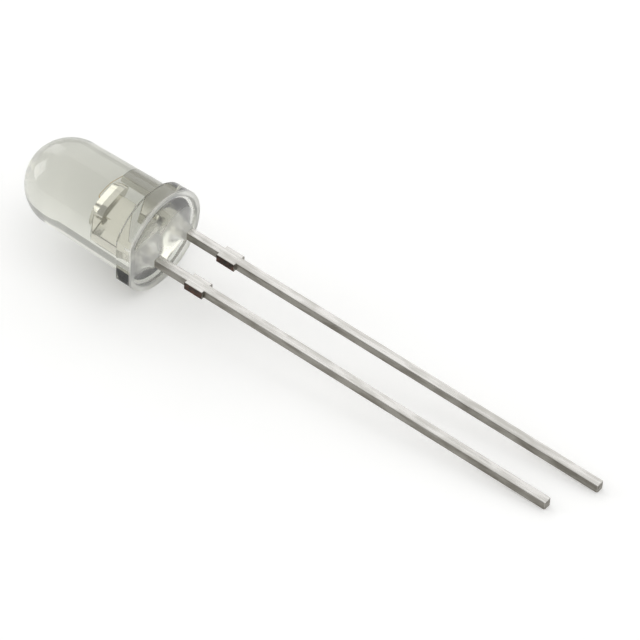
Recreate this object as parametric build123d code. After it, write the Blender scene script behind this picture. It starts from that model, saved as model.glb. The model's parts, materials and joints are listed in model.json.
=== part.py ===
from build123d import *
import os
from math import acos, atan2, cos, hypot, pi, sin, sqrt

# A clear through-hole phototransistor: a domed epoxy body cast round two stamped leads.
# It is modelled upright, in millimetres. Z runs along the lens axis, with the dome up and zero at the
# seating plane. X runs along the lead pitch, with the collector at minus X. Y goes through the sheet of
# the leads. The finished device is then laid down as it comes to rest: on its flange and two lead tips.

# Lens body, cast in clear epoxy
body_height = 8.66  # seating plane to the crown of the dome
flange_diameter = 5.82
flange_thickness = 1.0
flange_edge_break = 0.03
flat_step = 0.06  # from the barrel's foot out to the flat that marks the collector side
barrel_foot_diameter = 5.04
dome_radius = 2.43

# Underside of the flange, the free surface of the casting
rim_width = 0.26
dish_depth = 0.16
dish_slope_share = 0.9  # of the dish depth: the slope where the surface climbs to the rim
collar_reach = 0.66  # seating plane to where the epoxy stops on each lead
collar_wall = 0.04  # epoxy left over the corners of the lead at that end
collar_foot_radius = 0.84
collar_sag_share = 0.08  # of the flare's chord

# Lead frame, stamped from tinned steel sheet
sheet_thickness = 0.5
lead_width = 0.5
lead_pitch = 2.54
collector_length = 25.4  # below the seating plane
emitter_length = 26.7
stamped_edge_radius = 0.04
tip_corner_radius = 0.1  # cropped tips of the leads
tie_bar_distance = 2.78  # seating plane to the stubs of the cut tie bar
tie_bar_width = 1.15
tie_bar_stub = 0.18

# Anvil and post, the wide ends of the leads inside the body
shoulder_height = 0.9  # seating plane to where the leads widen
shoulder_rise = 0.35
frame_reach = 1.85  # lens axis to the outer edges
frame_gap = 0.35  # slit between anvil and post
neck_height = 2.0  # where the anvil's slant ends under the cup
neck_reach = 0.48  # lens axis to the anvil's edge above its slant
anvil_side_height = 2.98  # where the anvil's outer edge turns in to the head
post_inner_reach = 1.04  # lens axis to the post's inner edge
post_height = 3.75
post_top_reach = 1.5
post_side_height = 3.05  # where the post's outer edge turns in to its top
nose_height = 1.4  # where the post's foot meets the slit
nose_drop = 0.35

# Head of the anvil, upset from the sheet and coined to a die cup
head_width = 1.68
head_thickness = 1.2
head_corner_radius = 0.46
head_bevel_height = 0.36
head_bevel_inset = 0.06
head_shoulder_reach = 0.66  # lens axis to where the anvil's sloping shoulder meets the head
head_shoulder_height = 3.6
coined_start = 2.45  # slope pressed into both faces of the anvil, below its shoulder
coined_height = 0.5
coined_depth = 0.07
coined_reach = 0.6  # lens axis to the inner end of that slope
cup_rim_height = 3.7
cup_wall_height = 0.72
cup_mouth_diameter = 0.94
cup_floor_diameter = 0.82
cup_depth = 0.3

# Chip, its adhesive and its bond wire
attach_diameter = 0.78
attach_thickness = 0.03
chip_width = 0.54
chip_thickness = 0.2
wire_diameter = 0.03
ball_diameter = 0.09
ball_height = 0.03
pad_offset = 0.13  # lens axis to the emitter pad on the chip
loop_height = 0.42  # chip's face to the top of the wire's loop
loop_knee_share = 0.55  # of the wire's span: where it starts down
loop_fall_share = 0.1  # of the loop height: how much lower the knee is
rise_bend_radius = 0.12
fall_bend_radius = 0.25

overrun = 0.15

# Sizes that follow from those above
lead_x = lead_pitch / 2
half_lead = lead_width / 2
flat_distance = barrel_foot_diameter / 2 + flat_step
root_height = flange_thickness / 2
cup_floor_height = cup_rim_height - cup_depth
attach_top = cup_floor_height + attach_thickness
chip_top = attach_top + chip_thickness
slit_start_x = half_lead - lead_x
slit_slope = (neck_reach - slit_start_x) / (neck_height - shoulder_height)


def flange_outline(inset):
    """Round outline with the collector's flat, drawn in by an inset."""
    disc = Circle(flange_diameter / 2 - inset)
    kept = Rectangle(2 * flange_diameter, 2 * flange_diameter, align=(Align.MIN, Align.CENTER))
    return disc & Pos(X=inset - flat_distance) * kept


def flange():
    plate = extrude(flange_outline(0), flange_thickness)
    return chamfer(plate.edges().filter_by(Axis.Z, reverse=True), flange_edge_break)


def barrel_and_dome():
    """Drafted barrel that runs tangent into a spherical dome, turned about the lens axis."""
    foot = barrel_foot_diameter / 2
    dome_center = body_height - dome_radius
    straight = dome_center - flange_thickness
    draft = acos(dome_radius / hypot(foot, straight)) - atan2(straight, foot)
    halfway = (draft + pi / 2) / 2
    tangent = (dome_radius * cos(draft), dome_center + dome_radius * sin(draft))
    middle = (dome_radius * cos(halfway), dome_center + dome_radius * sin(halfway))
    crown = (0, body_height)
    wall = Polyline(crown, (0, root_height), (foot, root_height), (foot, flange_thickness), tangent)
    section = make_face(wall + ThreePointArc(tangent, middle, crown))
    return revolve(Plane.XZ * section, Axis.Z)


def dish():
    """Shallow hollow of the underside, which slopes up to the planar rim."""
    hollow = extrude(flange_outline(rim_width), dish_depth)
    return chamfer(hollow.edges().group_by(Axis.Z)[-1], dish_depth * dish_slope_share)


def collar(center_x):
    """Flared collar of epoxy round one lead."""
    foot = Vector(collar_foot_radius, dish_depth)
    tip = Vector(hypot(lead_width, sheet_thickness) / 2 + collar_wall, -collar_reach)
    chord = tip - foot
    sag = Vector(chord.Y, -chord.X) * collar_sag_share
    flare = ThreePointArc(foot, (foot + tip) / 2 + sag, tip)
    back = Polyline(tip, (0, tip.Y), (0, root_height), (foot.X, root_height), foot)
    return Pos(X=center_x) * revolve(Plane.XZ * make_face(flare + back), Axis.Z)


def stamped(outline):
    """Sheet stamping of an outline drawn in X and Z, with the soft edges of a die-cut strip."""
    cropped = fillet(outline.vertices().group_by(Axis.Y)[0], tip_corner_radius)
    blank = extrude(Plane.XZ * cropped, sheet_thickness / 2, both=True)
    return fillet(blank.edges().filter_by(Axis.Y, reverse=True), stamped_edge_radius)


def tie_bar_stubs(center_x):
    middle = tie_bar_distance + tie_bar_width / 2
    return Pos(center_x, -middle) * Rectangle(lead_width + 2 * tie_bar_stub, tie_bar_width)


def slit_x(height, offset):
    """Place across the device on a line beside the anvil's slanted edge."""
    return slit_start_x + (height - shoulder_height) * slit_slope + offset * hypot(1, slit_slope)


def head_plan(inset):
    """Rounded outline of the anvil's head, drawn in by an inset."""
    width = head_width - 2 * inset
    thickness = head_thickness - 2 * inset
    return RectangleRounded(width, thickness, head_corner_radius - inset)


def cup_head():
    """Upset head with bevelled sides, and the flared mouth that is coined into it."""
    foot = cup_rim_height - cup_wall_height
    bevel_start = cup_rim_height - head_bevel_height
    block = extrude(Pos(Z=foot) * head_plan(0), bevel_start - foot)
    top = Pos(Z=cup_rim_height) * head_plan(head_bevel_inset)
    bevel = loft([Pos(Z=bevel_start) * head_plan(0), top], ruled=True)
    mouth = Cone(cup_floor_diameter / 2, cup_mouth_diameter / 2, cup_depth)
    return block + bevel, Pos(Z=cup_rim_height - cup_depth / 2) * mouth


def coined_slope():
    """What the die presses out of one face of the anvil: a slope that ends in a small step."""
    face = sheet_thickness / 2
    coined_end = coined_start + coined_height
    section = make_face(
        Polyline(
            (face, coined_start),
            (face - coined_depth, coined_end),
            (face + overrun, coined_end),
            (face + overrun, coined_start),
            close=True,
        )
    )
    return Pos(X=-coined_reach) * extrude(Plane.YZ * section, -2 * frame_reach)


def collector_lead():
    """Short lead with the anvil that carries the die cup on the lens axis."""
    head, mouth = cup_head()
    tucked = cup_rim_height - cup_wall_height + overrun
    outline = make_face(
        Polyline(
            (-lead_x - half_lead, -collector_length),
            (half_lead - lead_x, -collector_length),
            (half_lead - lead_x, shoulder_height),
            (neck_reach, neck_height),
            (neck_reach, tucked),
            (-neck_reach, tucked),
            (-head_shoulder_reach, head_shoulder_height),
            (-frame_reach, anvil_side_height),
            (-frame_reach, shoulder_height + shoulder_rise),
            (-lead_x - half_lead, shoulder_height),
            close=True,
        )
    )
    slope = coined_slope()
    strip = stamped(outline + tie_bar_stubs(-lead_x)) - slope - mirror(slope, Plane.XZ)
    return strip + head - mouth


def emitter_lead():
    """Long lead with the post that takes the bond wire."""
    nose_x = slit_x(nose_height, frame_gap)
    slit_end = nose_height + (post_inner_reach - nose_x) / slit_slope
    outline = make_face(
        Polyline(
            (lead_x - half_lead, -emitter_length),
            (lead_x + half_lead, -emitter_length),
            (lead_x + half_lead, shoulder_height),
            (frame_reach, shoulder_height + shoulder_rise),
            (frame_reach, post_side_height),
            (post_top_reach, post_height),
            (post_inner_reach, post_height),
            (post_inner_reach, slit_end),
            (nose_x, nose_height),
            (nose_x, nose_height - nose_drop),
            (lead_x - half_lead, shoulder_height),
            close=True,
        )
    )
    return stamped(outline + tie_bar_stubs(lead_x))


def die_attach():
    middle = cup_floor_height + attach_thickness / 2
    return Pos(Z=middle) * Cylinder(attach_diameter / 2, attach_thickness)


def phototransistor_chip():
    middle = attach_top + chip_thickness / 2
    return Pos(Z=middle) * Box(chip_width, chip_width, chip_thickness)


def bond_wire(post):
    """Gold wire from a ball on the chip, up over a loop and down to the middle of the post's top."""
    landing_x = (post_inner_reach + post_top_reach) / 2
    span = landing_x - pad_offset
    top = chip_top + loop_height
    knee = (pad_offset + span * loop_knee_share, top - loop_height * loop_fall_share)
    route = Plane.XZ * FilletPolyline(
        (pad_offset, chip_top),
        (pad_offset, top),
        knee,
        (landing_x, post_height - wire_diameter),
        radius=[rise_bend_radius, fall_bend_radius],
    )
    wire = sweep(Plane(route @ 0, z_dir=route % 0) * Circle(wire_diameter / 2), path=route)
    ball = Cylinder(ball_diameter / 2, ball_height)
    return wire + Pos(X=pad_offset, Z=chip_top + ball_height / 2) * ball - post


def lens_body(inner_pieces):
    """Epoxy casting, solid round everything that it holds."""
    casting = flange() + barrel_and_dome() - dish() + collar(-lead_x) + collar(lead_x)
    for piece in inner_pieces:
        casting = casting - piece
    return casting


def resting_plane():
    """Floor under the lying device, which touches the flange's edge and one corner of each lead tip."""
    rim = flange_diameter / 2
    half_sheet = sheet_thickness / 2
    skew = (emitter_length - collector_length) / lead_pitch
    arm = emitter_length - skew * (lead_x - half_lead)
    reach = arm**2 - (rim * skew) ** 2
    lift = half_sheet * arm
    slope = (sqrt(lift**2 + reach * (rim**2 - half_sheet**2)) - lift) / reach
    up = Vector(skew * slope, -1, slope).normalized()
    lens_axis = Vector(0, 0, 1)
    return Plane((0, 0, 0), x_dir=lens_axis - up * lens_axis.dot(up), z_dir=up)


def lay_down(pieces):
    """Turn every piece to the lying pose, with the origin under the middle of the whole device."""
    floor = resting_plane()
    lying = {name: floor.to_local_coords(piece) for name, piece in pieces.items()}
    box = Compound(list(lying.values())).bounding_box()
    middle = box.center()
    shift = Pos(-middle.X, -middle.Y, -box.min.Z)
    return {name: shift * piece for name, piece in lying.items()}


def device():
    emitter = emitter_lead()
    pieces = {
        "collector_lead": collector_lead(),
        "emitter_lead": emitter,
        "die_attach": die_attach(),
        "phototransistor_chip": phototransistor_chip(),
        "bond_wire": bond_wire(emitter),
    }
    pieces["lens_body"] = lens_body(list(pieces.values()))
    return pieces


os.makedirs("parts", exist_ok=True)
for name, piece in lay_down(device()).items():
    export_step(piece, f"parts/{name}.step")
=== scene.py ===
import json

import bmesh
import bpy
import numpy as np
from bpy.props import FloatProperty, FloatVectorProperty, IntProperty, PointerProperty
from bpy.types import NodeSocket, Operator, Panel, PropertyGroup
from mathutils import Matrix, Quaternion, Vector


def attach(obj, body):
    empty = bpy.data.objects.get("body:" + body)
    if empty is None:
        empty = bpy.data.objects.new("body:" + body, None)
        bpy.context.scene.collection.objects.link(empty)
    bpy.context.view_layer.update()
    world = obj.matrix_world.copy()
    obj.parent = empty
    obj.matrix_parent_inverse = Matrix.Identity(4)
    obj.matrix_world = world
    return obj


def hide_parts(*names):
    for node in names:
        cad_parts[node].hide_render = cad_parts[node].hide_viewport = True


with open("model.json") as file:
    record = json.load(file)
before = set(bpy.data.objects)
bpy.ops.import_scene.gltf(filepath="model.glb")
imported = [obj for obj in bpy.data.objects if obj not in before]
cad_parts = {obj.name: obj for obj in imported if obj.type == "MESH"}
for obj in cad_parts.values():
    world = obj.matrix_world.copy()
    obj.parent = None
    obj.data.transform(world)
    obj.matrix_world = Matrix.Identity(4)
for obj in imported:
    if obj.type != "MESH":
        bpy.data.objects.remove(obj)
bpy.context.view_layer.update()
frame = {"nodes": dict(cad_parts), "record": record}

bl_info = {
    "name": "Clear Phototransistor",
    "version": (1, 0, 0),
    "blender": (4, 5, 0),
    "location": "3D View > Sidebar > Phototransistor",
    "description": "Casts the clear lens body over the lead frame and finishes the metal, chip and wire",
    "category": "Object",
}

MM = 0.001

# The CAD's facets cut its round forms short, so the skin stays this far inside them and in the CAD box
FACET_SAG = 0.006 * MM
# Points of the skin that are nearer than this are merged
MERGE = 1e-4 * MM
# Least divisor where the flat's line runs away from an angle
TINY = 1e-6

# Steps of the grids
DOME_STEPS = 48
BARREL_STEPS = 12
EDGE_STEPS = 5
SEAM_STEPS = 41
COLLAR_STEPS = 31
BEYOND_STEPS = 25
SHEET_STEPS = 8
# Share of a face at which an extra ring lies beside its edge
NEAR = 0.02
# Rings at the collar's end: scale of the one inside, share of the first outside, power that crowds the rest
COLLAR_INSIDE = 0.98
COLLAR_OUTSIDE = 0.002
COLLAR_CROWDING = 1.5

# Light of its own that the paper has where it is seen, so that it comes out white
PAPER_LIFT = 0.16
# Share of the way up at which the room's light reaches its overhead strength
SKY_LEVEL = 0.7

# Fades of the materials, each from none to full
# Heights in mm from the seat: dull underside with the flange's lowest edge, cut tie bar, silver plate
OPEN_FACE = (0.2, 0.05)
TIE_BAR_BELOW = (-0.7, -1.0)
PLATE_ABOVE = (-0.72, -0.6)
# Distance in mm from the lead's middle at which a tie bar's cut stands
TIE_BAR_OUT = (0.38, 0.42)
# Share of the normal that lies along a direction, for the lead's sides and ends and for the chip's face
CUT_FACING = (0.55, 0.85)
CHIP_FACING = (0.6, 0.8)

# Pattern of the chip's face in mm from the lens axis: scribed border, metal frame and its half width, pad
CHIP_BORDER = (0.225, 0.235)
CHIP_FRAME = 0.205
CHIP_FRAME_HALF = 0.012
CHIP_PAD = (0.13, 0.0, 0.0)
CHIP_PAD_RADIUS = (0.075, 0.07)


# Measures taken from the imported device

def node_points(name):
    """Corners of a CAD node's mesh, as rows of x, y and z."""
    corners = frame["nodes"][name].data.vertices
    flat = np.empty(3 * len(corners), dtype=np.float32)
    corners.foreach_get("co", flat)
    return flat.reshape(-1, 3).astype(float)


def lead_tip(name):
    """Middle of a lead's square end: the mean of the corners within 0.01 mm of its lowest one."""
    points = np.unique(node_points(name).round(7), axis=0)
    along = points @ LENS_AXIS
    return points[along < along.min() + 0.01 * MM].mean(axis=0)


MOUNTS = {mount["name"]: mount for mount in frame["record"]["mounts"]}
SEAT = np.array(MOUNTS["seating_rim"]["pos_m"])
LENS_AXIS = -np.array(MOUNTS["seating_rim"]["axis"])
ACROSS = lead_tip("emitter_lead") - lead_tip("collector_lead")
ACROSS = ACROSS - LENS_AXIS * (ACROSS @ LENS_AXIS)
PITCH = float(np.linalg.norm(ACROSS))
# Rows: along the pitch to the emitter, through the sheet, along the lens axis to the crown
AXES = np.stack([ACROSS / PITCH, np.cross(LENS_AXIS, ACROSS / PITCH), LENS_AXIS])


def upright(points):
    """Frame to upright device: x along the pitch, y through the sheet, z up the lens axis from the seat."""
    return (points - SEAT) @ AXES.T


def lying(points):
    """Upright device to frame, the reverse of upright."""
    return points @ AXES + SEAT


BODY = upright(node_points("lens_body"))
BARREL = MOUNTS["lens_barrel"]["dims"]
CROWN = float(BODY[:, 2].max()) - FACET_SAG
SHOULDER = float((np.array(MOUNTS["panel_shoulder"]["pos_m"]) - SEAT) @ LENS_AXIS)


# Sizes and colours that a user may change

def linear(hex_colour):
    """sRGB hex to linear red, green, blue: the standard curve, channel by channel."""
    s = np.array([int(hex_colour[i:i + 2], 16) for i in (1, 3, 5)]) / 255.0
    return tuple(float(c) for c in np.where(s <= 0.04045, s / 12.92, ((s + 0.055) / 1.055) ** 2.4))


def amount(name, description, default, **settings):
    """Property that can't fall below zero."""
    return FloatProperty(name=name, description=description, default=default, min=0.0, **settings)


def size(name, description, default):
    """Property for a length in metres."""
    return amount(name, description, default, unit="LENGTH", precision=5)


def degrees(name, description, default):
    """Property for an angle, whose default is given in degrees."""
    return FloatProperty(name=name, description=description, default=np.radians(default), subtype="ANGLE")


def colour(name, description, hex_colour):
    """Property for a colour, whose default is given as sRGB hex."""
    return FloatVectorProperty(name=name, description=description, default=linear(hex_colour), min=0.0,
                               max=1.0, subtype="COLOR")


class LensBodySizes(PropertyGroup):
    """Sizes of the epoxy casting"""

    crown_height: size("Crown height", "Seating plane to the crown of the dome", CROWN)
    dome_radius: size("Dome radius", "Radius of the spherical dome",
                      CROWN - SHOULDER - BARREL["length_mm"] * MM)
    foot_radius: size("Barrel foot radius", "Radius of the drafted barrel at the flange",
                      BARREL["r_mm"] * MM)
    flange_radius: size("Flange radius", "Radius of the round part of the flange",
                        float(np.hypot(BODY[:, 0], BODY[:, 1]).max()) - FACET_SAG)
    flange_thickness: size("Flange thickness", "Seating plane to the flange's shoulder", SHOULDER)
    flat_distance: size("Flat distance", "Lens axis to the flat on the collector side",
                        float(-BODY[:, 0].min()))
    edge_radius: size("Edge radius", "Rounding of the flange's edges", 0.03 * MM)
    rim_width: size("Rim width", "Planar rim round the underside", 0.26 * MM)
    dish_depth: size("Dish depth", "Depth of the underside's hollow", 0.16 * MM)
    dish_climb: size("Dish climb", "Distance over which the hollow falls away from the rim", 0.10 * MM)
    collar_reach: size("Collar reach", "Seating plane to where the epoxy stops on each lead",
                       float(-BODY[:, 2].min()))
    collar_climb: size("Collar climb", "Distance over which the epoxy climbs to a lead", 0.32 * MM)
    collar_wall: size("Collar wall", "Epoxy left on the lead where the collar stops", 0.015 * MM)
    collar_corner: size("Collar corner", "Rounding of the collar's end at the lead's corners", 0.04 * MM)
    collar_width: size("Collar width", "Lead to where the collar's even rings end", 0.4 * MM)
    lead_half: size("Lead half width", "Half of the square lead's width", 0.25 * MM)
    end_steps: IntProperty(name="End steps", default=40, min=4,
                           description="Steps along the flat, and along the arc across from it")
    side_steps: IntProperty(name="Side steps", default=88, min=8,
                            description="Steps round each of the two sides, an even number")


class FinishColours(PropertyGroup):
    """Colours of the materials"""

    epoxy: colour("Epoxy", "Clear epoxy at its surface", "#FBFBF7")
    epoxy_depth: colour("Epoxy depth", "Tint that grows with depth", "#CBCCC2")
    tin: colour("Tin", "Bright tin on the rolled faces", "#DFDDD9")
    tin_worn: colour("Worn tin", "Duller streaks in the tin", "#C6C4BE")
    # Sheared and dark steel colour the sides and tips of the leads: partly the duller cut steel, partly
    # painted shade that keeps them darker than the tin
    steel: colour("Sheared steel", "Sides of the leads, sheared by the die", "#98958E")
    steel_dark: colour("Dark steel", "Torn patches of the sheared sides", "#7F7B73")
    rust: colour("Rust", "Cut tie bar where bare steel has rusted", "#5B3F33")
    rust_dark: colour("Dark rust", "Deepest part of the rust", "#2E2A22")
    silver: colour("Silver plate", "Plated end of the lead frame inside the body", "#E6E4DC")
    adhesive: colour("Adhesive", "Silver-filled adhesive", "#B9B6AE")
    silicon: colour("Silicon", "Scribed border of the chip", "#5E5F66")
    active: colour("Active area", "Light-sensitive area under its oxide", "#35304A")
    pad: colour("Bond pad", "Aluminium of the emitter pad", "#D8D8DA")
    gold: colour("Gold", "Drawn gold wire", "#DDAE55")
    gold_pale: colour("Pale gold", "Lighter marks on the wire", "#EBCB86")
    paper: colour("Paper", "Sweep under the device", "#FCFCFB")
    paper_shade: colour("Paper shade", "Darker fibres of the sweep", "#F8F8F7")


class StageSizes(PropertyGroup):
    """Camera and light"""

    aim: FloatVectorProperty(name="Aim", description="Point that the camera looks at",
                             default=(-0.0765 * MM, -1.2555 * MM, 1.5 * MM), subtype="XYZ",
                             unit="LENGTH", precision=5)
    distance: size("Distance", "Camera to the aim", 218.816 * MM)
    heading: degrees("Heading", "Direction of the view on the floor, from X", -51.1054)
    elevation: degrees("Elevation", "Height of the camera above the horizon", 41.3069)
    roll: degrees("Roll", "Turn of the camera about its view", 0.5427)
    focal_length: FloatProperty(name="Focal length", description="Focal length in millimetres",
                                default=244.543, subtype="DISTANCE_CAMERA")
    floor_width: size("Floor width", "Side of the square sweep", 3.0)
    softbox_distance: size("Softbox distance", "Each softbox to the device", 0.5)
    back_power: amount("Back softbox", "Power of the wide softbox behind the device", 0.52,
                       subtype="POWER")
    side_power: amount("Side softbox", "Power of the small softbox behind and to the left", 0.46,
                       subtype="POWER")
    strip_power: amount("Strip softbox", "Power of the narrow softbox between those two", 0.22,
                        subtype="POWER")
    front_power: amount("Front softbox", "Power of the large softbox high in front", 0.9,
                        subtype="POWER")
    sky: amount("Sky", "Strength of the soft light overhead", 0.5)
    horizon: amount("Horizon", "Strength of the soft light at the horizon", 0.55)


# Mesh helpers

def joined(index):
    """Quads between neighbouring rings of a grid of point numbers, each ring closed on itself."""
    ahead = np.roll(index, -1, axis=1)
    return np.stack([index[:-1], index[1:], ahead[1:], ahead[:-1]], axis=-1).reshape(-1, 4)


def fanned(index, pole):
    """Triangles from one ring of point numbers to a pole."""
    return np.stack([index, np.roll(index, -1), np.full_like(index, pole)], axis=-1)


def capped_rings(rings, pole):
    """Points, quads and triangles of closed rings and the pole that the first ring closes on."""
    index = np.arange(rings.shape[0] * rings.shape[1]).reshape(rings.shape[:2])
    points = np.concatenate([rings.reshape(-1, 3), pole[None, :]])
    return points, joined(index), fanned(index[0], len(points) - 1)


def linked(name, data):
    """New object of the scene, at the origin."""
    piece = bpy.data.objects.new(name, data)
    bpy.context.scene.collection.objects.link(piece)
    return piece


def skin_object(name, patches):
    """One smooth mesh object from patches in upright places.

    The patches are merged where they meet, and their faces are turned outwards.
    """
    points = []
    faces = []
    count = 0
    for patch, quads, triangles in patches:
        points.append(patch)
        faces += (quads + count).tolist() + (triangles + count).tolist()
        count += len(patch)
    mesh = bpy.data.meshes.new(name)
    mesh.from_pydata(lying(np.concatenate(points)).tolist(), [], faces)
    shell = bmesh.new()
    shell.from_mesh(mesh)
    bmesh.ops.remove_doubles(shell, verts=shell.verts, dist=MERGE)
    bmesh.ops.recalc_face_normals(shell, faces=shell.faces)
    shell.to_mesh(mesh)
    shell.free()
    mesh.shade_smooth()
    return linked(name, mesh)


# Lens body

def flange_reach(s, angle, inset):
    """Distance from the lens axis to the flange's outline, drawn in by an inset.

    It is the round's radius less the inset or, where that is nearer, the flat's line at this angle.
    """
    facing = np.maximum(-np.cos(angle), TINY)
    return np.minimum(s.flange_radius - inset, (s.flat_distance - inset) / facing)


def outer_rings(s, angle):
    """Rings from the crown down to the inner edge of the planar rim.

    The dome is a sphere, the barrel a cone that touches it, and the flange a plate with rounded edges.
    Extra rings next to each edge keep the flat parts flat in the shading.
    """
    centre = s.crown_height - s.dome_radius
    straight = centre - s.flange_thickness
    draft = np.arccos(s.dome_radius / np.hypot(s.foot_radius, straight))
    draft = draft - np.arctan2(straight, s.foot_radius)
    ones = np.ones_like(angle)

    lift = np.linspace(np.pi / 2, draft, DOME_STEPS + 1)[1:]
    dome = np.stack([s.dome_radius * np.cos(lift), centre + s.dome_radius * np.sin(lift)], axis=-1)
    touch = dome[-1]
    foot = np.array([s.foot_radius, s.flange_thickness])
    down = np.concatenate([np.linspace(0, 1, BARREL_STEPS + 1)[1:-1], [1 - NEAR / 4, 1]])[:, None]
    barrel = touch + (foot - touch) * down
    turned = [(r * ones, z) for r, z in np.concatenate([dome, barrel])]

    edge = s.edge_radius
    across = np.array([NEAR, 0.2, 0.5, 0.8, 1 - NEAR, 1])
    start = s.foot_radius * ones
    shoulder = [(start + (flange_reach(s, angle, edge) - start) * a, s.flange_thickness) for a in across]
    turn = np.linspace(0, np.pi / 2, EDGE_STEPS + 1)[1:]
    upper = [(flange_reach(s, angle, edge * (1 - np.sin(t))), s.flange_thickness - edge * (1 - np.cos(t)))
             for t in turn]
    side = [(flange_reach(s, angle, 0.0), s.flange_thickness - edge - (s.flange_thickness - 2 * edge) * a)
            for a in across]
    lower = [(flange_reach(s, angle, edge * (1 - np.cos(t))), edge * (1 - np.sin(t))) for t in turn]
    rim = [(flange_reach(s, angle, edge + (s.rim_width - edge) * a), 0.0) for a in across]
    return np.stack([np.stack([r * np.cos(angle), r * np.sin(angle), z * ones], axis=-1)
                     for r, z in turned + shoulder + upper + side + lower + rim])


def collar_core(s):
    """Half width of the square on whose corners the rounding of the collar's end is centred."""
    return s.lead_half + s.collar_wall - s.collar_corner


def underside_height(s, x, y):
    """Height of the free surface of the casting at a point of the underside.

    It falls away from the rim by the dish depth, as one minus the exponential of the distance inside the
    rim over the dish's climb. Beside each lead it rises the other way, by the exponential of the distance
    to the collar's rounded square end over the collar's climb. That rise fades out at the rim as the dish
    does.
    """
    inside = flange_reach(s, np.arctan2(y, x), s.rim_width) - np.hypot(x, y)
    fade = 1 - np.exp(-np.maximum(inside, 0) / s.dish_climb)
    climb = np.zeros_like(x)
    core = collar_core(s)
    for lead_x in (-PITCH / 2, PITCH / 2):
        beside = np.hypot(np.maximum(np.abs(x - lead_x) - core, 0), np.maximum(np.abs(y) - core, 0))
        climb = climb + np.exp(-np.maximum(beside - s.collar_corner, 0) / s.collar_climb)
    return fade * (s.dish_depth - (s.dish_depth + s.collar_reach) * climb)


def rounded_square(ray, core, radius):
    """Where rays from the middle meet a square with rounded corners.

    A ray meets a straight side at the half width over its larger share. Where that lies past the side's
    end, it meets the corner's circle instead, at the root of the quadratic for the distance from the
    circle's middle.
    """
    reach = (core + radius) / np.abs(ray).max(axis=1, keepdims=True)
    along = core * np.abs(ray).sum(axis=1, keepdims=True)
    turn = along + np.sqrt(np.maximum(along**2 - 2 * core**2 + radius**2, 0))
    past = np.abs(ray * reach).min(axis=1, keepdims=True) > core
    return ray * np.where(past, turn, reach)


def underside_half(s, rim, lead_x):
    """Rings of one half of the underside, from the lead out to the half's border.

    The border is the half's part of the rim, closed by the line between the leads. The collar's rings are
    even offsets of the rounded square at its end, along lines square to it. Beyond them each ring is a
    share of the way to the border. One ring lies just inside the collar's end, so that its edge stays
    sharp.
    """
    seam = np.linspace(rim[-1], rim[0], SEAM_STEPS + 1)[1:-1]
    border = np.concatenate([rim, seam])[:, :2] - (lead_x, 0)
    ray = border / np.hypot(border[:, 0], border[:, 1])[:, None]
    core = collar_core(s)
    outer = rounded_square(ray, core, s.collar_corner + s.collar_width)
    nearest = np.clip(outer, -core, core)
    inner = nearest + (outer - nearest) * s.collar_corner / (s.collar_corner + s.collar_width)
    crowded = np.linspace(0, 1, COLLAR_STEPS + 1)[1:] ** COLLAR_CROWDING
    offset = np.concatenate([[0, COLLAR_OUTSIDE], crowded])[:, None, None]
    beyond = np.linspace(0, 1, BEYOND_STEPS + 1)[1:, None, None]
    place = np.concatenate([
        inner[None] * COLLAR_INSIDE,
        inner + (outer - inner) * offset,
        outer + (border - outer) * beyond,
    ])
    place = place + (lead_x, 0)
    x, y = place[..., 0], place[..., 1]
    rings = np.stack([x, y, underside_height(s, x, y)], axis=-1)
    return capped_rings(rings, np.array([lead_x, 0, -s.collar_reach]))


def lens_skin(s):
    """Whole outer skin of the casting.

    Grid lines lie on both ends of the flat and on the line between the leads.
    """
    corner = np.arccos(s.flat_distance / s.flange_radius)
    turns = np.array([-corner, corner, np.pi - corner, np.pi + corner, 2 * np.pi - corner])
    steps = (s.end_steps, s.side_steps, s.end_steps, s.side_steps)
    angle = np.concatenate([np.linspace(a, b, n, endpoint=False)
                            for a, b, n in zip(turns, turns[1:], steps)])
    outer = outer_rings(s, angle)
    rim = outer[-1]
    half = s.end_steps + s.side_steps
    emitter_rim = np.roll(rim, s.side_steps // 2, axis=0)[:half + 1]
    collector_rim = np.roll(rim, s.side_steps // 2 - half, axis=0)[:half + 1]
    return skin_object("lens_casting", [
        capped_rings(outer, np.array([0, 0, s.crown_height])),
        underside_half(s, collector_rim, -PITCH / 2),
        underside_half(s, emitter_rim, PITCH / 2),
    ])


# Materials
# Sockets by number: a Map Range has its value at 0, its two from at 1 and 2 and its two to at 3 and 4. A
# Mix has its factor at 0, numbers at 2 and 3 and colours at 6 and 7, and a mixed colour comes out at 2.

def add(tree, kind, inputs=None, **settings):
    """Add a node with its settings, and set or link its inputs."""
    made = tree.nodes.new(kind)
    for key, value in settings.items():
        setattr(made, key, value)
    for key, value in (inputs or {}).items():
        if isinstance(value, NodeSocket):
            tree.links.new(value, made.inputs[key])
        else:
            made.inputs[key].default_value = value
    return made


def rgba(value):
    """Opaque colour of four values."""
    return (value[0], value[1], value[2], 1.0)


def new_material(name):
    """Empty node material, its tree, the place on the upright device in millimetres, and the normal."""
    material = bpy.data.materials.new(name)
    material.use_nodes = True
    tree = material.node_tree
    tree.nodes.clear()
    source = add(tree, "ShaderNodeTexCoord")
    place = add(tree, "ShaderNodeMapping", {
        "Vector": source.outputs["Object"],
        "Location": Vector(AXES @ -SEAT / MM),
        "Rotation": Matrix(AXES.tolist()).to_euler(),
        "Scale": (1 / MM, 1 / MM, 1 / MM),
    })
    return material, tree, place.outputs["Vector"], source.outputs["Normal"]


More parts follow.
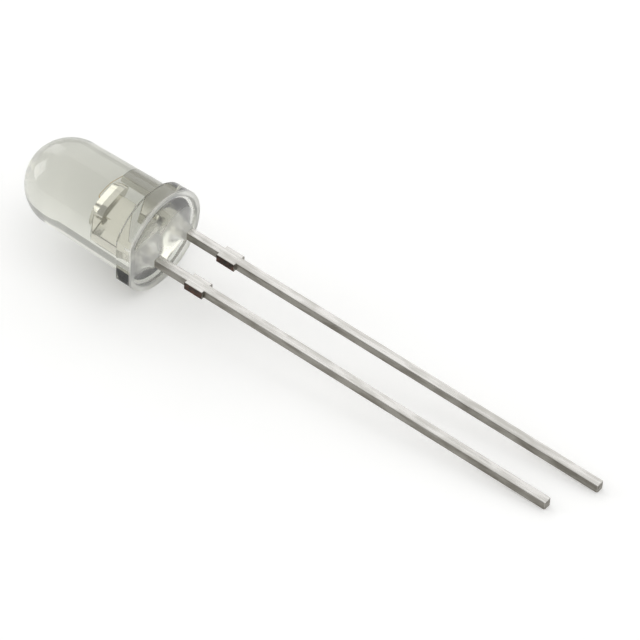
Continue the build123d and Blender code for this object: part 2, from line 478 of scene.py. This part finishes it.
def clear_cast_epoxy(c):
    """Clear epoxy resin, cast in a polished mould.

    It is glassy, with a faint grey-green depth. The mould's polish leaves a slow swell and a slightly
    uneven gloss. The underside, the open face of the casting, is duller and a little milky, and so is the
    lowest edge of the flange.
    """
    material, tree, place, _ = new_material("clear_cast_epoxy")
    # Swell about 2.2 mm long, and haze in clouds of about 0.7 mm
    swell = add(tree, "ShaderNodeTexNoise", {"Vector": place, "Scale": 1 / 2.2, "Detail": 1.0})
    bump = add(tree, "ShaderNodeBump", {
        "Height": swell.outputs["Fac"], "Strength": 0.25, "Distance": 0.02 * MM,
    })
    haze = add(tree, "ShaderNodeTexNoise", {"Vector": place, "Scale": 1 / 0.7, "Detail": 3.0})
    gloss = add(tree, "ShaderNodeMapRange", {0: haze.outputs["Fac"], 1: 0.3, 2: 0.7, 3: 0.015, 4: 0.045})
    parts = add(tree, "ShaderNodeSeparateXYZ", {0: place})
    low = {0: parts.outputs["Z"], 1: OPEN_FACE[0], 2: OPEN_FACE[1]}
    dull = add(tree, "ShaderNodeMapRange", {**low, 3: 0.0, 4: 0.35})
    clear = add(tree, "ShaderNodeMapRange", {**low, 3: 1.0, 4: 0.6})
    gloss = add(tree, "ShaderNodeMath", {0: gloss.outputs[0], 1: dull.outputs[0]}, operation="ADD")
    skin = add(tree, "ShaderNodeBsdfPrincipled", {
        "Base Color": rgba(c.epoxy), "Roughness": gloss.outputs[0], "IOR": 1.53,
        "Transmission Weight": clear.outputs[0], "Normal": bump.outputs["Normal"],
    })
    depth = add(tree, "ShaderNodeVolumeAbsorption", {"Color": rgba(c.epoxy_depth), "Density": 190.0})
    add(tree, "ShaderNodeOutputMaterial", {
        "Surface": skin.outputs["BSDF"], "Volume": depth.outputs["Volume"],
    })
    return material


def tinned_steel_strip(c):
    """Steel strip, rolled, stamped and tinned.

    The rolled faces are bright with faint lines along the strip. The sheared sides and the cut tips are
    duller
    and darker: partly the bare cut steel, partly painted shade that keeps them darker than the tin. The cut
    tie bar shows rusted steel, and the end inside the body is plated with silver.
    """
    material, tree, place, normal = new_material("tinned_steel_strip")
    parts = add(tree, "ShaderNodeSeparateXYZ", {0: place})
    # Rolling lines 0.12 mm apart and about 6 mm long, coarser than real ones so that they show
    stretch = add(tree, "ShaderNodeVectorMath", {0: place, 1: (1 / 0.12, 1 / 0.3, 1 / 6.0)},
                  operation="MULTIPLY")
    lines = add(tree, "ShaderNodeTexNoise", {"Vector": stretch.outputs[0], "Scale": 1.0, "Detail": 3.0})
    # Tin that flowed over about 0.4 mm by 1.4 mm
    stretch = add(tree, "ShaderNodeVectorMath", {0: place, 1: (1 / 0.4, 1 / 0.4, 1 / 1.4)},
                  operation="MULTIPLY")
    flow = add(tree, "ShaderNodeTexNoise", {"Vector": stretch.outputs[0], "Scale": 1.0, "Detail": 2.0})
    streak = add(tree, "ShaderNodeMath", {0: lines.outputs[0], 1: flow.outputs[0]}, operation="MULTIPLY")
    worn = add(tree, "ShaderNodeMapRange", {0: streak.outputs[0], 1: 0.18, 2: 0.36})
    tin = add(tree, "ShaderNodeMix", {0: worn.outputs[0], 6: rgba(c.tin), 7: rgba(c.tin_worn)},
              data_type="RGBA")

    # The sheared sides face along the pitch, the cut tips along the lens axis; both get a darker colour
    # that is partly painted shade
    facing = add(tree, "ShaderNodeVectorMath", {0: normal, 1: Vector(AXES[0])}, operation="DOT_PRODUCT")
    facing = add(tree, "ShaderNodeMath", {0: facing.outputs["Value"]}, operation="ABSOLUTE")
    side = add(tree, "ShaderNodeMapRange", {0: facing.outputs[0], 1: CUT_FACING[0], 2: CUT_FACING[1]})
    facing = add(tree, "ShaderNodeVectorMath", {0: normal, 1: Vector(-AXES[2])}, operation="DOT_PRODUCT")
    end = add(tree, "ShaderNodeMapRange", {
        0: facing.outputs["Value"], 1: CUT_FACING[0], 2: CUT_FACING[1],
    })
    torn = add(tree, "ShaderNodeMapRange", {0: flow.outputs[0], 1: 0.4, 2: 0.65})
    # Colour of the sides and tips: duller steel with torn patches, darker than the tin as partly painted
    # shade
    sheared = add(tree, "ShaderNodeMix", {0: torn.outputs[0], 6: rgba(c.steel), 7: rgba(c.steel_dark)},
                  data_type="RGBA")
    cut_and_shaded_faces = add(tree, "ShaderNodeMath", {0: side.outputs[0], 1: end.outputs[0]}, operation="MAXIMUM")

    # The cut of the tie bar stands out beyond the lead's own side, below the seat
    off = add(tree, "ShaderNodeMath", {0: parts.outputs["X"]}, operation="ABSOLUTE")
    off = add(tree, "ShaderNodeMath", {0: off.outputs[0], 1: PITCH / 2 / MM}, operation="SUBTRACT")
    off = add(tree, "ShaderNodeMath", {0: off.outputs[0]}, operation="ABSOLUTE")
    stub = add(tree, "ShaderNodeMapRange", {0: off.outputs[0], 1: TIE_BAR_OUT[0], 2: TIE_BAR_OUT[1]})
    below = add(tree, "ShaderNodeMapRange", {
        0: parts.outputs["Z"], 1: TIE_BAR_BELOW[0], 2: TIE_BAR_BELOW[1],
    })
    cut = add(tree, "ShaderNodeMath", {0: stub.outputs[0], 1: below.outputs[0]}, operation="MULTIPLY")
    cut = add(tree, "ShaderNodeMath", {0: cut.outputs[0], 1: side.outputs[0]}, operation="MULTIPLY")
    # Rust in patches of about 0.25 mm
    patch = add(tree, "ShaderNodeTexNoise", {"Vector": place, "Scale": 1 / 0.25, "Detail": 4.0})
    patch = add(tree, "ShaderNodeMapRange", {0: patch.outputs[0], 1: 0.35, 2: 0.65})
    rust = add(tree, "ShaderNodeMix", {0: patch.outputs[0], 6: rgba(c.rust), 7: rgba(c.rust_dark)},
               data_type="RGBA")

    inside = add(tree, "ShaderNodeMapRange", {
        0: parts.outputs["Z"], 1: PLATE_ABOVE[0], 2: PLATE_ABOVE[1],
    })
    # Tin on the rolled faces, and on the sides and tips the darker colour that is partly painted shade
    plain = add(tree, "ShaderNodeMix", {0: cut_and_shaded_faces.outputs[0], 6: tin.outputs[2], 7: sheared.outputs[2]},
                data_type="RGBA")
    plated = add(tree, "ShaderNodeMix", {0: inside.outputs[0], 6: plain.outputs[2], 7: rgba(c.silver)},
                 data_type="RGBA")
    shown = add(tree, "ShaderNodeMix", {0: cut.outputs[0], 6: plated.outputs[2], 7: rust.outputs[2]},
                data_type="RGBA")
    bare = add(tree, "ShaderNodeMapRange", {0: cut.outputs[0], 3: 1.0, 4: 0.3})
    gloss = add(tree, "ShaderNodeMapRange", {0: worn.outputs[0], 3: 0.22, 4: 0.34})
    dull = add(tree, "ShaderNodeMapRange", {0: cut_and_shaded_faces.outputs[0], 3: 0.0, 4: 0.18})
    gloss = add(tree, "ShaderNodeMath", {0: gloss.outputs[0], 1: dull.outputs[0]}, operation="ADD")
    dull = add(tree, "ShaderNodeMapRange", {0: cut.outputs[0], 3: 0.0, 4: 0.3})
    gloss = add(tree, "ShaderNodeMath", {0: gloss.outputs[0], 1: dull.outputs[0]}, operation="ADD")
    # The silver is bright, with clouds in its gloss
    cloud = add(tree, "ShaderNodeMapRange", {0: flow.outputs[0], 1: 0.3, 2: 0.7, 3: 0.12, 4: 0.22})
    gloss = add(tree, "ShaderNodeMix", {0: inside.outputs[0], 2: gloss.outputs[0], 3: cloud.outputs[0]})
    smooth = add(tree, "ShaderNodeMapRange", {0: inside.outputs[0], 3: 0.12, 4: 0.02})
    relief = add(tree, "ShaderNodeBump", {
        "Height": streak.outputs[0], "Strength": smooth.outputs[0], "Distance": 0.006 * MM,
    })
    skin = add(tree, "ShaderNodeBsdfPrincipled", {
        "Base Color": shown.outputs[2], "Metallic": bare.outputs[0], "Roughness": gloss.outputs[0],
        "Normal": relief.outputs[0],
    })
    add(tree, "ShaderNodeOutputMaterial", {"Surface": skin.outputs[0]})
    return material


def silver_filled_adhesive(c):
    """Epoxy paste with silver flakes, dispensed and cured: grey, with flakes that catch the light."""
    material, tree, place, _ = new_material("silver_filled_adhesive")
    # Flakes about 0.02 mm wide
    flake = add(tree, "ShaderNodeTexVoronoi", {"Vector": place, "Scale": 1 / 0.02})
    bright = add(tree, "ShaderNodeSeparateColor", {0: flake.outputs["Color"]})
    tone = add(tree, "ShaderNodeMix", {0: bright.outputs[0], 6: rgba(c.adhesive), 7: rgba(c.silver)},
               data_type="RGBA")
    gloss = add(tree, "ShaderNodeMapRange", {0: bright.outputs[1], 3: 0.3, 4: 0.6})
    relief = add(tree, "ShaderNodeBump", {
        "Height": flake.outputs["Distance"], "Strength": 0.4, "Distance": 0.004 * MM,
    })
    skin = add(tree, "ShaderNodeBsdfPrincipled", {
        "Base Color": tone.outputs[2], "Metallic": 0.8, "Roughness": gloss.outputs[0],
        "Normal": relief.outputs[0],
    })
    add(tree, "ShaderNodeOutputMaterial", {"Surface": skin.outputs[0]})
    return material


def planar_silicon(c):
    """Silicon chip, polished, oxidised and metallised by the planar process, then sawn.

    The face has a dark oxide over the active area, a pad of aluminium with a frame of the same metal, and
    a grey scribed border. The sawn sides are dull grey.
    """
    material, tree, place, normal = new_material("planar_silicon")
    parts = add(tree, "ShaderNodeSeparateXYZ", {0: place})
    x = add(tree, "ShaderNodeMath", {0: parts.outputs["X"]}, operation="ABSOLUTE")
    y = add(tree, "ShaderNodeMath", {0: parts.outputs["Y"]}, operation="ABSOLUTE")
    out = add(tree, "ShaderNodeMath", {0: x.outputs[0], 1: y.outputs[0]}, operation="MAXIMUM")
    border = add(tree, "ShaderNodeMapRange", {0: out.outputs[0], 1: CHIP_BORDER[0], 2: CHIP_BORDER[1]})
    beside = add(tree, "ShaderNodeMath", {0: out.outputs[0], 1: CHIP_FRAME, 2: CHIP_FRAME_HALF},
                 operation="COMPARE")
    from_pad = add(tree, "ShaderNodeVectorMath", {0: place, 1: CHIP_PAD}, operation="SUBTRACT")
    flat = add(tree, "ShaderNodeVectorMath", {0: from_pad.outputs[0], 1: (1.0, 1.0, 0.0)},
               operation="MULTIPLY")
    away = add(tree, "ShaderNodeVectorMath", {0: flat.outputs[0]}, operation="LENGTH")
    pad = add(tree, "ShaderNodeMapRange", {
        0: away.outputs["Value"], 1: CHIP_PAD_RADIUS[0], 2: CHIP_PAD_RADIUS[1],
    })
    metal = add(tree, "ShaderNodeMath", {0: pad.outputs[0], 1: beside.outputs[0]}, operation="MAXIMUM")
    # Oxide whose thickness drifts over about 0.3 mm
    drift = add(tree, "ShaderNodeTexNoise", {"Vector": place, "Scale": 1 / 0.3, "Detail": 1.0})
    oxide = add(tree, "ShaderNodeMix", {0: drift.outputs[0], 6: rgba(c.active), 7: rgba(c.silicon)},
                data_type="RGBA")
    face = add(tree, "ShaderNodeMix", {0: border.outputs[0], 6: oxide.outputs[2], 7: rgba(c.silicon)},
               data_type="RGBA")
    face = add(tree, "ShaderNodeMix", {0: metal.outputs[0], 6: face.outputs[2], 7: rgba(c.pad)},
               data_type="RGBA")
    facing = add(tree, "ShaderNodeVectorMath", {0: normal, 1: Vector(AXES[2])}, operation="DOT_PRODUCT")
    top = add(tree, "ShaderNodeMapRange", {
        0: facing.outputs["Value"], 1: CHIP_FACING[0], 2: CHIP_FACING[1],
    })
    shown = add(tree, "ShaderNodeMix", {0: top.outputs[0], 6: rgba(c.silicon), 7: face.outputs[2]},
                data_type="RGBA")
    gloss = add(tree, "ShaderNodeMapRange", {0: top.outputs[0], 3: 0.5, 4: 0.12})
    bright = add(tree, "ShaderNodeMath", {0: metal.outputs[0], 1: top.outputs[0]}, operation="MULTIPLY")
    skin = add(tree, "ShaderNodeBsdfPrincipled", {
        "Base Color": shown.outputs[2], "Metallic": bright.outputs[0], "Roughness": gloss.outputs[0],
    })
    add(tree, "ShaderNodeOutputMaterial", {"Surface": skin.outputs[0]})
    return material


def drawn_gold_wire(c):
    """Fine gold wire, drawn and annealed: smooth and warm, with a slight unevenness from the capillary."""
    material, tree, place, _ = new_material("drawn_gold_wire")
    # Marks about 0.06 mm long
    mark = add(tree, "ShaderNodeTexNoise", {"Vector": place, "Scale": 1 / 0.06, "Detail": 2.0})
    tone = add(tree, "ShaderNodeMix", {0: mark.outputs[0], 6: rgba(c.gold), 7: rgba(c.gold_pale)},
               data_type="RGBA")
    gloss = add(tree, "ShaderNodeMapRange", {0: mark.outputs[0], 3: 0.16, 4: 0.32})
    skin = add(tree, "ShaderNodeBsdfPrincipled", {
        "Base Color": tone.outputs[2], "Metallic": 1.0, "Roughness": gloss.outputs[0],
    })
    add(tree, "ShaderNodeOutputMaterial", {"Surface": skin.outputs[0]})
    return material


def matt_paper(c):
    """Matt white paper of a studio sweep, calendered: almost even, with a faint cloud of fibres."""
    material, tree, place, _ = new_material("matt_paper")
    # Clouds about 4 mm across
    cloud = add(tree, "ShaderNodeTexNoise", {"Vector": place, "Scale": 1 / 4.0, "Detail": 4.0})
    tone = add(tree, "ShaderNodeMix", {0: cloud.outputs[0], 6: rgba(c.paper), 7: rgba(c.paper_shade)},
               data_type="RGBA")
    skin = add(tree, "ShaderNodeBsdfDiffuse", {"Color": tone.outputs[2]})
    # What the camera sees, straight, mirrored or through the epoxy, is lifted to white and keeps its shadow
    path = add(tree, "ShaderNodeLightPath")
    seen = add(tree, "ShaderNodeMath", {
        0: path.outputs["Is Camera Ray"], 1: path.outputs["Is Glossy Ray"],
    }, operation="MAXIMUM")
    seen = add(tree, "ShaderNodeMath", {0: seen.outputs[0], 1: path.outputs["Is Transmission Ray"]},
               operation="MAXIMUM")
    lift = add(tree, "ShaderNodeMath", {0: seen.outputs[0], 1: PAPER_LIFT}, operation="MULTIPLY")
    glow = add(tree, "ShaderNodeEmission", {"Color": rgba(c.paper), "Strength": lift.outputs[0]})
    both = add(tree, "ShaderNodeAddShader", {0: skin.outputs[0], 1: glow.outputs[0]})
    add(tree, "ShaderNodeOutputMaterial", {"Surface": both.outputs[0]})
    return material


def give(piece, material):
    """Put a material on an object, in place of any it has."""
    piece.data.materials.clear()
    piece.data.materials.append(material)


# Stage

def floor_sheet(width):
    """Level square sheet: each parameter runs from minus to plus half of the width, at height zero."""
    run = np.linspace(-0.5, 0.5, SHEET_STEPS + 1) * width
    u, v = np.meshgrid(run, run)
    points = np.stack([u, v, np.zeros_like(u)], axis=-1).reshape(-1, 3)
    index = np.arange(u.size).reshape(u.shape)
    quads = np.stack([index[:-1, :-1], index[:-1, 1:], index[1:, 1:], index[1:, :-1]], axis=-1)
    mesh = bpy.data.meshes.new("paper_sweep")
    mesh.from_pydata(points.tolist(), [], quads.reshape(-1, 4).tolist())
    return linked("paper_sweep", mesh)


def direction(heading, lift):
    """Unit vector at a heading from X and a lift above the floor: cosines of both, sine of the lift."""
    return Vector((np.cos(lift) * np.cos(heading), np.cos(lift) * np.sin(heading), np.sin(lift)))


# Operators

class PHOTOTRANSISTOR_OT_lens_body(Operator):
    """Cast the clear body over the lead frame"""

    bl_idname = "phototransistor.lens_body"
    bl_label = "Cast Lens Body"

    def execute(self, context):
        piece = lens_skin(context.scene.lens_body_sizes)
        give(piece, clear_cast_epoxy(context.scene.finish_colours))
        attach(piece, "root")
        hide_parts("lens_body")
        return {"FINISHED"}


class PHOTOTRANSISTOR_OT_lead_frame(Operator):
    """Finish the collector and emitter leads"""

    bl_idname = "phototransistor.lead_frame"
    bl_label = "Finish Lead Frame"

    def execute(self, context):
        strip = tinned_steel_strip(context.scene.finish_colours)
        give(frame["nodes"]["collector_lead"], strip)
        give(frame["nodes"]["emitter_lead"], strip)
        return {"FINISHED"}


class PHOTOTRANSISTOR_OT_chip(Operator):
    """Finish the chip, its adhesive and its bond wire"""

    bl_idname = "phototransistor.chip"
    bl_label = "Finish Chip and Wire"

    def execute(self, context):
        colours = context.scene.finish_colours
        give(frame["nodes"]["die_attach"], silver_filled_adhesive(colours))
        give(frame["nodes"]["phototransistor_chip"], planar_silicon(colours))
        give(frame["nodes"]["bond_wire"], drawn_gold_wire(colours))
        return {"FINISHED"}


class PHOTOTRANSISTOR_OT_stage(Operator):
    """Set up the sweep, the soft light and the camera"""

    bl_idname = "phototransistor.stage"
    bl_label = "Set Up Stage"

    def execute(self, context):
        scene = context.scene
        s = scene.stage_sizes
        sheet = floor_sheet(s.floor_width)
        give(sheet, matt_paper(scene.finish_colours))

        world = bpy.data.worlds.new("soft_room")
        world.use_nodes = True
        tree = world.node_tree
        tree.nodes.clear()
        source = add(tree, "ShaderNodeTexCoord")
        parts = add(tree, "ShaderNodeSeparateXYZ", {0: source.outputs["Generated"]})
        level = add(tree, "ShaderNodeMapRange", {
            0: parts.outputs["Z"], 1: 0.0, 2: SKY_LEVEL, 3: s.horizon, 4: s.sky,
        })
        room = add(tree, "ShaderNodeBackground", {
            "Color": (1.0, 1.0, 1.0, 1.0), "Strength": level.outputs[0],
        })
        add(tree, "ShaderNodeOutputWorld", {"Surface": room.outputs[0]})
        scene.world = world

        aim = Vector(s.aim)
        # Degrees from the camera's heading, degrees above the horizon, width and height in metres, power
        for name, turn, lift, width, height, power in (
            ("back_softbox", -1.0, 39.0, 0.6, 0.42, s.back_power),
            ("side_softbox", 70.0, 18.0, 0.22, 0.28, s.side_power),
            ("strip_softbox", 27.0, 27.0, 0.18, 0.36, s.strip_power),
            ("front_softbox", -140.0, 65.0, 0.6, 0.6, s.front_power),
        ):
            beyond = direction(s.heading + np.radians(turn), np.radians(lift))
            lamp = bpy.data.lights.new(name, "AREA")
            lamp.shape = "RECTANGLE"
            lamp.size = width
            lamp.size_y = height
            lamp.energy = power
            softbox = linked(name, lamp)
            softbox.location = aim + beyond * s.softbox_distance
            softbox.rotation_euler = beyond.to_track_quat("Z", "Y").to_euler()

        camera = bpy.data.cameras.new("camera")
        camera.sensor_width = 36.0
        camera.lens = s.focal_length
        camera.clip_start = 0.01
        camera.clip_end = 10.0
        view = direction(s.heading, -s.elevation)
        viewer = linked("camera", camera)
        viewer.location = aim - view * s.distance
        viewer.rotation_mode = "QUATERNION"
        viewer.rotation_quaternion = view.to_track_quat("-Z", "Y") @ Quaternion((0.0, 0.0, 1.0), -s.roll)
        scene.camera = viewer
        scene.view_settings.view_transform = "Standard"
        return {"FINISHED"}


class PHOTOTRANSISTOR_PT_panel(Panel):
    """Sizes, colours and steps of the phototransistor"""

    bl_label = "Phototransistor"
    bl_idname = "PHOTOTRANSISTOR_PT_panel"
    bl_space_type = "VIEW_3D"
    bl_region_type = "UI"
    bl_category = "Phototransistor"

    def draw(self, context):
        layout = self.layout
        for step in OPERATORS:
            layout.operator(step.bl_idname)
        for name in GROUPS:
            group = getattr(context.scene, name)
            box = layout.box()
            for setting in group.__annotations__:
                box.prop(group, setting)


GROUPS = {"lens_body_sizes": LensBodySizes, "finish_colours": FinishColours, "stage_sizes": StageSizes}
OPERATORS = (PHOTOTRANSISTOR_OT_lens_body, PHOTOTRANSISTOR_OT_lead_frame, PHOTOTRANSISTOR_OT_chip,
             PHOTOTRANSISTOR_OT_stage)


def register():
    for made in (*GROUPS.values(), *OPERATORS, PHOTOTRANSISTOR_PT_panel):
        bpy.utils.register_class(made)
    for name, group in GROUPS.items():
        setattr(bpy.types.Scene, name, PointerProperty(type=group))


def unregister():
    for name in GROUPS:
        delattr(bpy.types.Scene, name)
    for made in (PHOTOTRANSISTOR_PT_panel, *reversed(OPERATORS), *reversed(GROUPS.values())):
        bpy.utils.unregister_class(made)


def main():
    register()
    bpy.ops.phototransistor.lens_body()
    bpy.ops.phototransistor.lead_frame()
    bpy.ops.phototransistor.chip()
    bpy.ops.phototransistor.stage()


if __name__ == "__main__":
    main()
